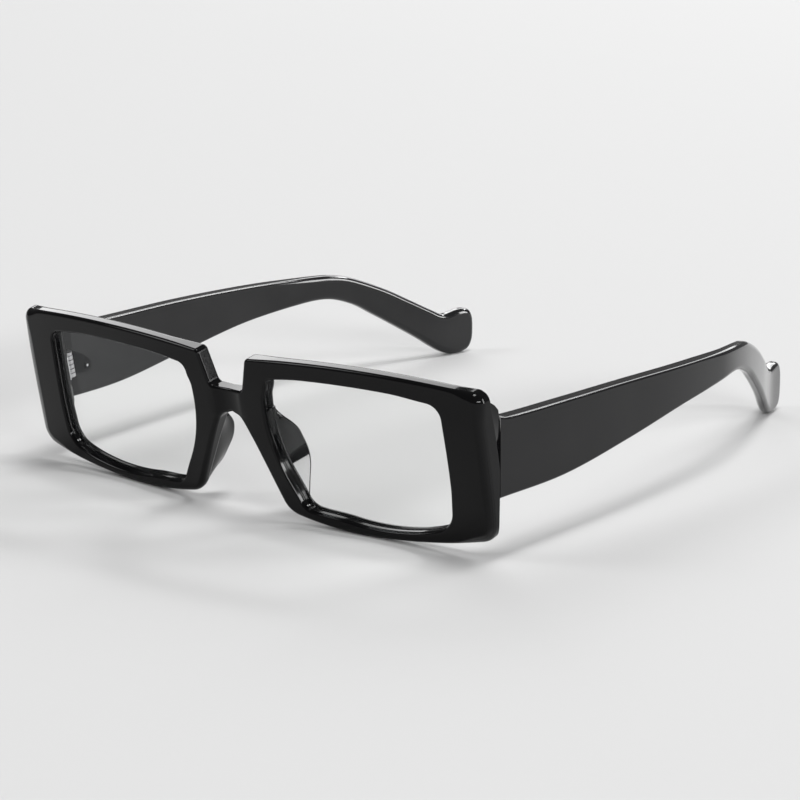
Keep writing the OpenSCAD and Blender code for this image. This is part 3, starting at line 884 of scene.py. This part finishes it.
@dataclass
class Front:
    """The wrapped front with its two endpieces.

    `groove` holds the steps of a lens opening's wall, as Plate takes them.
    """

    acetate: Material
    hinge_inset: float = 5.3
    seat_back: float = 2.69
    edge: float = 0.25
    flank: float = 1.6
    groove: tuple[Triple, ...] = (
        (3.3, 0.0, 0.4), (3.1, 0.0, 0.4), (3.06, 0.0, -0.35), (3.0, 0.02, -0.7),
        (2.76, 0.24, -0.7), (2.74, 0.26, -0.35), (2.0, 0.26, -0.35), (1.98, 0.26, 0.4),
        (1.72, 0.26, 0.4), (1.7, 0.26, -0.35), (1.52, 0.26, -0.35), (1.5, 0.24, 0.0),
        (1.28, 0.02, 0.0), (1.22, 0.0, -0.34), (1.2, 0.0, 0.4), (0.95, 0.0, 0.4), (0.93, 0.0, -0.34),
    )

    @property
    def brow(self) -> list[Pair]:
        """Upper side of an endpiece as (y, z), from the temple up to the rim."""
        y, top = SEAM.y, SEAM.top
        return [(y, top - 0.2), (y - 0.25, top + 1.3), (y - 1.6, top + 2.6), (y - 2.75, top + 3.3)]

    @property
    def foot(self) -> list[Pair]:
        """Lower side of an endpiece as (y, z), from the rim up to the temple."""
        y, low = SEAM.y, SEAM.top - SEAM.height
        return [(y - 6, low - 7.2), (y - 1.1, low - 7.2), (y - 0.1, low - 5.6), (y + 0.9, low - 3.6)]

    def endpiece(self, side: Side) -> Shape:
        """Builds the block behind one outer corner, cut to its sides, its seat and its mitre.

        Args:
            side: Which corner it stands behind.

        Returns:
            The block, its edges still sharp.
        """
        sign = side.value
        base, back, up = PLAN.directions
        inner, sunk, near, spare, clear = PLAN.outer + 0.9, 0.02, 6.6, 3.0, 0.2
        hinge_u = PLAN.half_width - self.hinge_inset
        seat_y = PLAN.back_of(hinge_u) + self.seat_back
        line = PLAN.outline()
        ends = (line.points[:, 0] > inner) & (line.points[:, 1] > 0.0)
        rim = line.points[ends] - sunk * line.outward[ends]
        flat = np.concatenate([rim, [[inner, rim[-1][1]], [inner, rim[0][1]]]])
        points = np.array([base + (sign * u, 0, 0) + back * near + up * v for u, v in flat])
        block = Shape()
        for row in block.tube([(points, None), (points + back * (seat_y + spare - near), None)]):
            block.fill([row])
        bmesh.ops.recalc_face_normals(block.bm, faces=block.bm.faces)
        for cuts in (self.brow, self.foot):
            for (y0, z0), (y1, z1) in zip(cuts, cuts[1:]):
                block.slice((0.0, y0 + PLAN.shift, z0), (0.0, z1 - z0, y0 - y1))
        seat = base + (sign * hinge_u, 0, 0) + back * seat_y
        block.slice(seat, back)
        rise = seat_y - PLAN.back_of(inner) + clear
        flank = (sign * (hinge_u - self.flank - inner), 0, 0) + back * rise
        normal = np.cross(flank, up)
        block.slice(seat - (sign * self.flank, 0, 0), normal if normal[0] * sign < 0 else -normal)
        block.slice(*SEAM.plane(side))
        return block

    def add_endpiece(self, shape: Shape, side: Side) -> None:
        """Adds one endpiece, rounded everywhere but at its mitre.

        Args:
            shape: The front that it joins.
            side: Which corner it stands behind.
        """
        block = self.endpiece(side)
        block.merge(degrees=1)
        point, way = SEAM.plane(side)
        sharp = block.sharp(least=0.3)
        free = [e for e in sharp if max(abs((v.co - point).dot(way)) for v in e.verts) > TOUCHING]
        block.bevel(free, self.edge, segments=3)
        for face in block.bm.faces:
            face[block.flat] = 0
        block.weigh()
        mesh = bpy.data.meshes.new("endpiece")
        block.bm.to_mesh(mesh)
        block.bm.free()
        shape.bm.from_mesh(mesh)
        bpy.data.meshes.remove(mesh)

    def build(self) -> None:
        """Builds the front as one piece."""
        left = PLAN.opening()
        plate = Plate([PLAN.outline(), left, left.mirrored()], PLAN.depth, steps=self.groove)
        shape = plate.shape(sorted([*np.arange(-66, 67, SCORE_STEP), -3, -1, 1, 3]))
        shape.carry(PLAN.place)
        for side in Side:
            shape.slice(*SEAM.plane(side))
            self.add_endpiece(shape, side)
        piece = shape.object("front_rims", self.acetate, "front")
        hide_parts("front_frame")


@dataclass
class Lens:
    """One clear lens, seated in its rim's groove."""

    resin: Material
    thickness: float = 1.8
    inset: float = 1.2
    seated: float = 0.4
    edge: float = 0.12

    def build(self, side: Side) -> None:
        """Builds the lens on one side."""
        line = PLAN.opening(self.seated, self.edge, self.edge).turned_out()
        plate = Plate([line if side is Side.LEFT else line.mirrored()], self.thickness, 2, 2)
        shape = plate.shape([side.value * x for x in np.arange(11, 59, SCORE_STEP)])
        shape.carry(lambda flat: PLAN.place(flat + (0, self.inset, 0)))
        piece = shape.object(f"clear_lens_{side.word}", self.resin, "front")
        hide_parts(f"lens_{side.word}")


@dataclass
class NosePad:
    """Nose pad moulded onto the back of a rim's nose side.

    `rise` and `tip` give, over its height, the share of its reach by which it stands out and
    its crest's distance from the lens opening. The nose face runs through (`nose_u`, `nose_v`)
    and leans by `splay`. One even facet reaches up to `facet_top`.
    """

    acetate: Material
    low: float = 0.3
    height: float = 24.0
    reach: float = 8.0
    steps: int = 44
    root: float = 0.95
    oval: float = 1.2
    nose_u: float = 4.9
    nose_v: float = 18.6
    splay: float = 7.2 / 16.1
    polish: int = 24
    polished_rows: int = 32
    facet_top: float = 0.42
    facet_way: Triple = (0.973, -0.123, 0.194)
    facet_share: float = 0.9
    rise: Curve = field(
        default_factory=lambda: Curve(
            [(0, 0.02), (0.05, 0.1), (0.167, 0.54), (0.316, 0.87), (0.394, 0.97), (0.479, 0.99),
             (0.569, 0.94), (0.667, 0.79), (0.771, 0.53), (0.85, 0.3), (0.93, 0.11), (1, 0.01)]
        )
    )
    tip: Curve = field(
        default_factory=lambda: Curve(
            [(0, 5.9), (0.05, 5.1), (0.167, 2.8), (0.316, 1.5), (0.394, 0.8), (0.479, 0.15),
             (0.569, -0.3), (0.667, -0.1), (0.771, 0), (0.85, -0.1), (0.93, -0.3), (1, -0.6)]
        )
    )

    def nose_edge(self, v: float) -> float:
        """Where the pad's nose face leaves the rim at a height."""
        under = PLAN.foot_v - v
        corner = PLAN.inner + PLAN.foot_in - math.sqrt(max(0.0, PLAN.foot_radius**2 - under**2))
        return max(self.nose_u + self.splay * (self.nose_v - v), corner if under > 0 else 0.0)

    def section(self, share: float) -> Array:
        """Level section of the pad.

        Args:
            share: Share of the pad's height.

        Returns:
            Ring of points (u, depth, v).
        """
        v, depth = self.low + share * self.height, PLAN.depth
        rise = max(0.05, self.reach * float(self.rise(share)[0]))
        nose = self.nose_edge(v) + 0.05
        crest = PLAN.inner + float(self.tip(share)[0])
        outer = PLAN.inner + 0.1 + 0.018 * max(0.0, 22 - v) ** 1.72
        outer = max(outer, crest + 1 - share)
        r = min(0.9, 0.42 * rise)
        neck = depth + rise - self.oval * r
        start, lean = np.array([nose, self.root]), np.array([nose, depth + 0.1 * rise])
        end = np.array([crest - r, neck])
        draw = end - (0.3 * (crest - nose), 0.38 * rise)
        rows = [bezier(start, lean, draw, end, k / 8) for k in range(9)]
        for angle in range(150, -1, -30):
            t = math.radians(angle)
            rows.append((crest + r * math.cos(t), neck + self.oval * r * math.sin(t)))
        rows.append((0.5 * (crest + r + outer), depth + 0.4 * (neck - depth)))
        rows += [(outer, depth), (outer, self.root)]
        flat = np.array(rows)
        return np.stack([flat[:, 0], flat[:, 1], np.full(len(flat), v)], axis=1)

    def polished(self, ways: Array, side: Side) -> Array:
        """Smooths the ways out up the pad and sets its facet.

        Args:
            ways: The ways out, by row.
            side: The pad's side.

        Returns:
            The new ways out.
        """
        last = self.polished_rows
        for _ in range(self.polish):
            ways[1:last] = (ways[: last - 1] + 2 * ways[1:last] + ways[2 : last + 1]) / 4
        facet = slice(2, round(self.facet_top * self.steps)), slice(-4, -1)
        flat = np.array(self.facet_way) * (side.value, 1, 1)
        ways[facet] = (1 - self.facet_share) * ways[facet] + self.facet_share * flat
        return ways / np.linalg.norm(ways, axis=2)[:, :, None]

    def build(self, side: Side) -> None:
        """Builds the pad on one side."""
        shape = Shape()
        sections = (self.section(k / self.steps) for k in range(self.steps + 1))
        rows = shape.tube([(points * (side.value, 1, 1), None) for points in sections])
        shape.fill(rows[:1])
        shape.fill(rows[-1:])
        shape.carry(PLAN.place)
        bmesh.ops.recalc_face_normals(shape.bm, faces=shape.bm.faces)
        shape.weigh()
        ways = np.array([[v[shape.out] for v in row] for row in rows])
        for row, row_ways in zip(rows, self.polished(ways, side)):
            shape.set_ways(row, row_ways)
        piece = shape.object(f"saddle_pad_{side.word}", self.acetate, "front")
        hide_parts(f"nose_pad_{side.word}")


def passing(p: Array, q: Array, r: Array, s: Array, t: float) -> Array:
    """Point from q to r on a smooth curve that comes from p and goes on to s."""
    bent = (2 * p - 5 * q + 4 * r - s) * t * t + (3 * q - p - 3 * r + s) * t**3
    return 0.5 * (2 * q + (r - p) * t + bent)


@dataclass
class Temple:
    """One temple, milled from sheet and bent behind the ear.

    A share runs from 0 to 1 down the arm and from 1 to 2 over the ear piece. The far ear
    piece is moved back and down by `far_ear` at most.
    """

    acetate: Material
    arm: float = 101.2
    ear: float = 43.8
    thick: float = 3.9
    thin: float = 3.4
    waist: float = 6.4
    bend: float = 27.3
    bow: float = 1.4
    turn_in: float = 16.7
    gap: float = 0.14
    edge: float = 0.6
    softer: float = 0.9
    far_ear: Pair = (1.8, 0.9)

    def along(self, share: float) -> float:
        """Place along the temple at a share."""
        return SEAM.y + min(share, 1) * self.arm + max(share - 1, 0) * self.ear

    def curve(self, *knots: Pair) -> Curve:
        """Curve through pairs of share and value."""
        return Curve([(self.along(share), value) for share, value in knots])

    @property
    def face(self) -> Curve:
        """The outer face's distance from the middle."""
        h, b, t = PLAN.half_width, self.bow, self.turn_in
        return self.curve(
            (0, h), (0.23, h + 0.57 * b), (0.465, h + b), (0.7, h + 0.82 * b), (0.89, h - 0.03 * t),
            (1, h - 0.16 * t), (1.265, h - 0.35 * t), (1.53, h - 0.59 * t), (1.79, h - 0.86 * t),
            (2, h - t),
        )

    @property
    def upper(self) -> Curve:
        """The upper edge."""
        top, b = SEAM.top, self.bend
        fall = top - b
        return self.curve(
            (0, top - 0.2), (0.03, top - 0.17 * fall), (0.23, top - 0.29 * fall),
            (0.465, top - 0.41 * fall), (0.7, top - 0.62 * fall), (0.89, top - 0.83 * fall),
            (1, b + 0.2), (1.13, 0.98 * b), (1.265, 0.908 * b), (1.415, 0.802 * b), (1.555, 0.674 * b),
            (1.7, 0.53 * b), (1.785, 0.455 * b), (1.9, 0.468 * b), (1.96, 0.452 * b),
            (1.985, 0.41 * b), (2, 0.33 * b),
        )

    @property
    def lower(self) -> Curve:
        """The lower edge."""
        low, b, w = SEAM.top - SEAM.height, self.bend, self.waist
        fall = SEAM.height - w
        return self.curve(
            (0, low), (0.23, low + 0.1), (0.465, b - w - 0.35 * fall), (0.7, b - w - 0.09 * fall),
            (0.89, b - w + 0.1), (1, b - w), (1.185, 0.67 * b), (1.335, 0.527 * b), (1.48, 0.377 * b),
            (1.62, 0.223 * b), (1.73, 0.09 * b), (1.79, 0.032 * b), (1.86, 0.0), (1.935, 0.012 * b),
            (1.98, 0.06 * b), (2, 0.16 * b),
        )

    def contour(self) -> Contour:
        """Side view of the temple from its lower front corner, softer behind the ear."""
        before, bowl, tip = SEAM.y - 1.5, self.along(1.3), self.along(1.985)
        along = np.concatenate([np.linspace(before, bowl, 110), np.linspace(bowl, tip, 60)[1:]])
        held = np.maximum(along, SEAM.y)
        low = np.stack([along, self.lower(held)], axis=1)
        high = np.stack([along, self.upper(held)], axis=1)[::-1]
        end = [[self.along(2), share * self.bend] for share in (0.16, 0.33)]
        knots = np.concatenate([low[-3:], end, high[:3]])
        bend = [passing(*knots[i - 1 : i + 3], k / 8) for i in (2, 3, 4) for k in range(8)]
        points = np.concatenate([low[:-1], bend, high])
        line = Contour.from_line(points, self.edge)
        share = np.clip((points[:, 0] - self.along(0.75)) / (0.6 * self.ear), 0, 1)
        softer = self.softer * share * share * (3 - 2 * share)
        line.sizes[:, (0, 1, 3)] += softer[:, None]
        return line

    def place(self, flat: Array, side: Side) -> Array:
        """Bends the flat sheet.

        Args:
            flat: Points (y, depth, z) of the sheet.
            side: The temple's side.

        Returns:
            Points (x, y, z) in millimetres.
        """
        y, d, z = flat.T
        held = np.maximum(y, SEAM.y)
        thickness = self.thick + (self.thin - self.thick) * (held - SEAM.y) / (self.arm + self.ear)
        x = self.face(held) - d * thickness / self.thick
        if side is Side.RIGHT:
            share = np.clip((y - self.along(1)) / self.ear, 0, 1)
            low, high = self.lower(held), self.upper(held)
            raised = np.clip((z - low) / (high - low), 0, 1)
            z = z - self.far_ear[1] * np.sin(math.pi * share) * raised
            y = y + self.far_ear[0] * share * share
        return np.stack([side.value * x, y + PLAN.shift, z], axis=1)

    def build(self, side: Side) -> None:
        """Builds the temple on one side."""
        plate = Plate([self.contour()], self.thick, 5, 5)
        shape = plate.shape(np.arange(SEAM.y - 1, self.along(1.99), SCORE_STEP).tolist())
        shape.carry(lambda flat: self.place(flat, side))
        point, way = SEAM.plane(side, self.gap)
        shape.slice(point, -way)
        piece = shape.object(f"temple_sheet_{side.word}", self.acetate, f"temple_arm_{side.word}")
        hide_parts(f"temple_{side.word}")


@dataclass
class Hardware:
    """The hinges, rivets and wire cores, with the turned edges broken.

    Black acetate covers the leaf of each temple hinge beyond `barrel_reach` and all of a rivet but its
    head inside `rivet_ring`; it is also painted into the seams between the barrels as shade.
    """

    steel: Material
    lacquer: Material
    barrel_reach: float = 2.6
    edge: float = 0.25
    rivet_edge: float = 0.3
    barrel: float = 1.9
    rivet_ring: float = 0.47
    head: float = 0.1
    seam_turns: Pair = (0.2, 0.98)
    pin: Triple = (62.9, -63.18, 22.5)
    axis: Vector = field(default_factory=lambda: Vector((0.0, -0.187381, 0.982287)))

    def metal(self, node: bpy.types.Object) -> Shape:
        """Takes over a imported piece, its flat faces made whole."""
        shape = Shape()
        shape.bm.from_mesh(node.data)
        bmesh.ops.transform(shape.bm, matrix=node.matrix_world, verts=shape.bm.verts)
        bmesh.ops.scale(shape.bm, vec=(1 / MM,) * 3, verts=shape.bm.verts)
        bmesh.ops.remove_doubles(shape.bm, verts=shape.bm.verts, dist=1e-3)
        shape.merge(degrees=2)
        return shape

    def heads(self, shape: Shape) -> list[Vector]:
        """Sets a ring into each end of a rivet and returns the ends' middles, in metres."""
        facing, area = 0.9, 1.2
        ends = [f for f in shape.bm.faces if abs(f.normal.x) > facing and f.calc_area() > area]
        bmesh.ops.inset_individual(shape.bm, faces=ends, thickness=self.rivet_ring)
        return [f.calc_center_median() * MM for f in ends]

    def seams(self, faces: Faces, side: Side) -> None:
        """Paints shade into the rounded edges between the barrels of one hinge, as black acetate."""
        pin = Vector((side.value * self.pin[0], *self.pin[1:]))
        for face in faces:
            way = face.calc_center_median() - pin
            off = (way - way.dot(self.axis) * self.axis).length
            least, most = self.seam_turns
            if off < self.barrel and least < abs(face.normal.dot(self.axis)) < most:
                face.material_index = BLACK_COVER_AND_SHADE_SLOT

    def fit(self, name: str, node: bpy.types.Object) -> None:
        """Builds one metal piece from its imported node, its sharp edges rounded.

        Args:
            name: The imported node's name.
            node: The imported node.
        """
        side = Side.LEFT if name.endswith("left") else Side.RIGHT
        shape = self.metal(node)
        heads = self.heads(shape) if "rivet" in name else []
        width = self.edge * (self.rivet_edge if heads else 1)
        rounded = shape.bevel(shape.sharp(least=0.9), width, segments=2)
        # Painted shade: the seams between the barrels take the black acetate.
        if "screw" not in name:
            self.seams(rounded, side)
        shape.weigh()
        body = f"temple_arm_{side.word}" if name.startswith("temple") else "front"
        piece = shape.object(f"fitted_{name}", self.steel, body)
        piece.data.materials.append(self.lacquer)
        near = min(v.co.y for v in piece.data.vertices) + self.barrel_reach * MM
        for face in piece.data.polygons:
            if heads:
                away = min((face.center - head).length for head in heads)
                face.material_index = BLACK_COVER_AND_SHADE_SLOT if away > self.head * MM else 0
            elif name.startswith("temple") and face.center.y > near:
                face.material_index = BLACK_COVER_AND_SHADE_SLOT
        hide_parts(name)

    def build(self) -> None:
        """Builds the pieces that are seen, and gives the hidden wire cores their finish."""
        for name, node in list(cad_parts.items()):
            if "hinge" in name or "rivet" in name:
                self.fit(name, node)
            elif "core" in name:
                node.data.materials.clear()
                node.data.materials.append(self.steel)


@dataclass(frozen=True)
class Lamp:
    """One soft lamp that faces the glasses, its level 1 where its face is white."""

    name: str
    aim: Triple
    far: float
    size: Pair
    level: float

    def hang(self) -> None:
        """Hangs the lamp."""
        data = bpy.data.lights.new(self.name, "AREA")
        data.shape = "RECTANGLE"
        data.size, data.size_y = self.size
        data.energy = self.level * math.pi * self.size[0] * self.size[1]
        lamp = bpy.data.objects.new(self.name, data)
        bpy.context.scene.collection.objects.link(lamp)
        way = Vector(self.aim).normalized()
        lamp.location = way * self.far
        lamp.rotation_mode = "QUATERNION"
        lamp.rotation_quaternion = way.to_track_quat("Z", "Y")


@dataclass
class Studio:
    """Floor, lamps, world and camera."""

    floor_size: float = 8.0
    world_level: float = 0.04
    surround: Triple = (0.84, 0.84, 0.84)
    mirrored: float = 0.15
    azimuth: float = 0.669408765
    elevation: float = 0.261359379
    roll: float = -0.00647539
    away: float = 0.655675843
    focal: float = 2713.16286
    target: Triple = (-0.14981, 57.73985, 13.50148)
    lamps: tuple[Lamp, ...] = (
        Lamp("back", (-0.44, 0.77, 0.52), 3.2, (3.2, 1.35), 4.8),
        Lamp("strip", (0.16, 0.74, 0.65), 3.0, (1.0, 0.3), 22.0),
        Lamp("above", (0.10, 0.03, 1.0), 2.6, (0.9, 0.7), 15.0),
        Lamp("front", (-0.60, -0.47, 0.64), 2.4, (0.6, 0.9), 6.0),
        Lamp("side", (0.817, 0.521, 0.245), 3.0, (0.6, 1.5), 16.0),
        Lamp("glint", (0.92, -0.24, 0.31), 2.6, (1.6, 0.25), 26.0),
    )

    def floor(self) -> None:
        """Lays the floor under the glasses."""
        bm = bmesh.new()
        bmesh.ops.create_grid(bm, x_segments=2, y_segments=2, size=self.floor_size)
        mesh = bpy.data.meshes.new("floor")
        bm.to_mesh(mesh)
        bm.free()
        floor = bpy.data.objects.new("floor", mesh)
        bpy.context.scene.collection.objects.link(floor)
        floor.data.materials.append(StudioFloor().build())

    def world(self) -> None:
        """Sets a plain pale surround, which gives little light of its own."""
        graph = Graph(bpy.data.worlds.new("surround"))
        seen = graph.add("Background", inputs={"Color": (*self.surround, 1.0)})
        inputs = {"Color": (1.0, 1.0, 1.0, 1.0), "Strength": self.world_level}
        light = graph.add("Background", inputs=inputs)
        rays = graph.ray("Camera") + graph.ray("Transmission") + self.mirrored * graph.ray("Glossy")
        mix = graph.add("MixShader", inputs={0: rays, 1: light, 2: seen})
        bpy.context.scene.world = graph.finish(mix)

    def camera(self) -> None:
        """Sets the camera at the photograph's place."""
        flat, rise = math.cos(self.elevation), math.sin(self.elevation)
        c, s = math.cos(self.azimuth), math.sin(self.azimuth)
        back, right = Vector((s * flat, -c * flat, rise)), Vector((c, s, 0))
        up = back.cross(right)
        c, s = math.cos(self.roll), math.sin(self.roll)
        turned = Matrix((c * right + s * up, -s * right + c * up, back)).transposed().to_4x4()
        data = bpy.data.cameras.new("camera")
        data.sensor_width = 36.0
        data.lens = data.sensor_width * self.focal / 800.0
        data.clip_start, data.clip_end = 0.01, 50.0
        camera = bpy.data.objects.new("camera", data)
        bpy.context.scene.collection.objects.link(camera)
        target = (Vector(self.target) + Vector((0, PLAN.shift, 0))) * MM
        camera.matrix_world = Matrix.Translation(target + self.away * back) @ turned
        bpy.context.scene.camera = camera

    def build(self) -> None:
        """Sets the studio up."""
        bpy.context.scene.view_settings.view_transform = "Standard"
        self.floor()
        for lamp in self.lamps:
            lamp.hang()
        self.world()
        self.camera()


def main() -> None:
    """Builds the glasses in order."""
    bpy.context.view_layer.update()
    acetate = Acetate().build()
    # Lit and shaded copies of one acetate: the near pad's shine is raised to paint a brighter
    # reflection, the far pad's is lowered to paint it darker.
    pad_lit_and_shaded_copies = {
        Side.LEFT: Acetate("near_pad_acetate", shine=0.4).build(),
        Side.RIGHT: Acetate("far_pad_acetate", shine=0.09).build(),
    }
    # The temples use lit copies of the front's acetate: a lighter tone and a different coat on each
    # side paint the brighter reflections on the arms.
    lit_copy_tones = (0.007, 0.007, 0.0075), (0.011, 0.011, 0.0115)
    temple_lit_copies = {
        Side.LEFT: Acetate("near_temple_acetate", *lit_copy_tones, shine=0.2, coat=0.05, coat_ear=0.8).build(),
        Side.RIGHT: Acetate("far_temple_acetate", *lit_copy_tones, shine=0.2, coat=0.35, coat_ear=0.5).build(),
    }
    resin = CoatedLens().build()
    steel = PlatedSteel().build()
    Front(acetate).build()
    for side in Side:
        Lens(resin).build(side)
        NosePad(pad_lit_and_shaded_copies[side]).build(side)
        Temple(temple_lit_copies[side]).build(side)
    Hardware(steel, acetate).build()
    Studio().build()


if __name__ == "__main__":
    main()
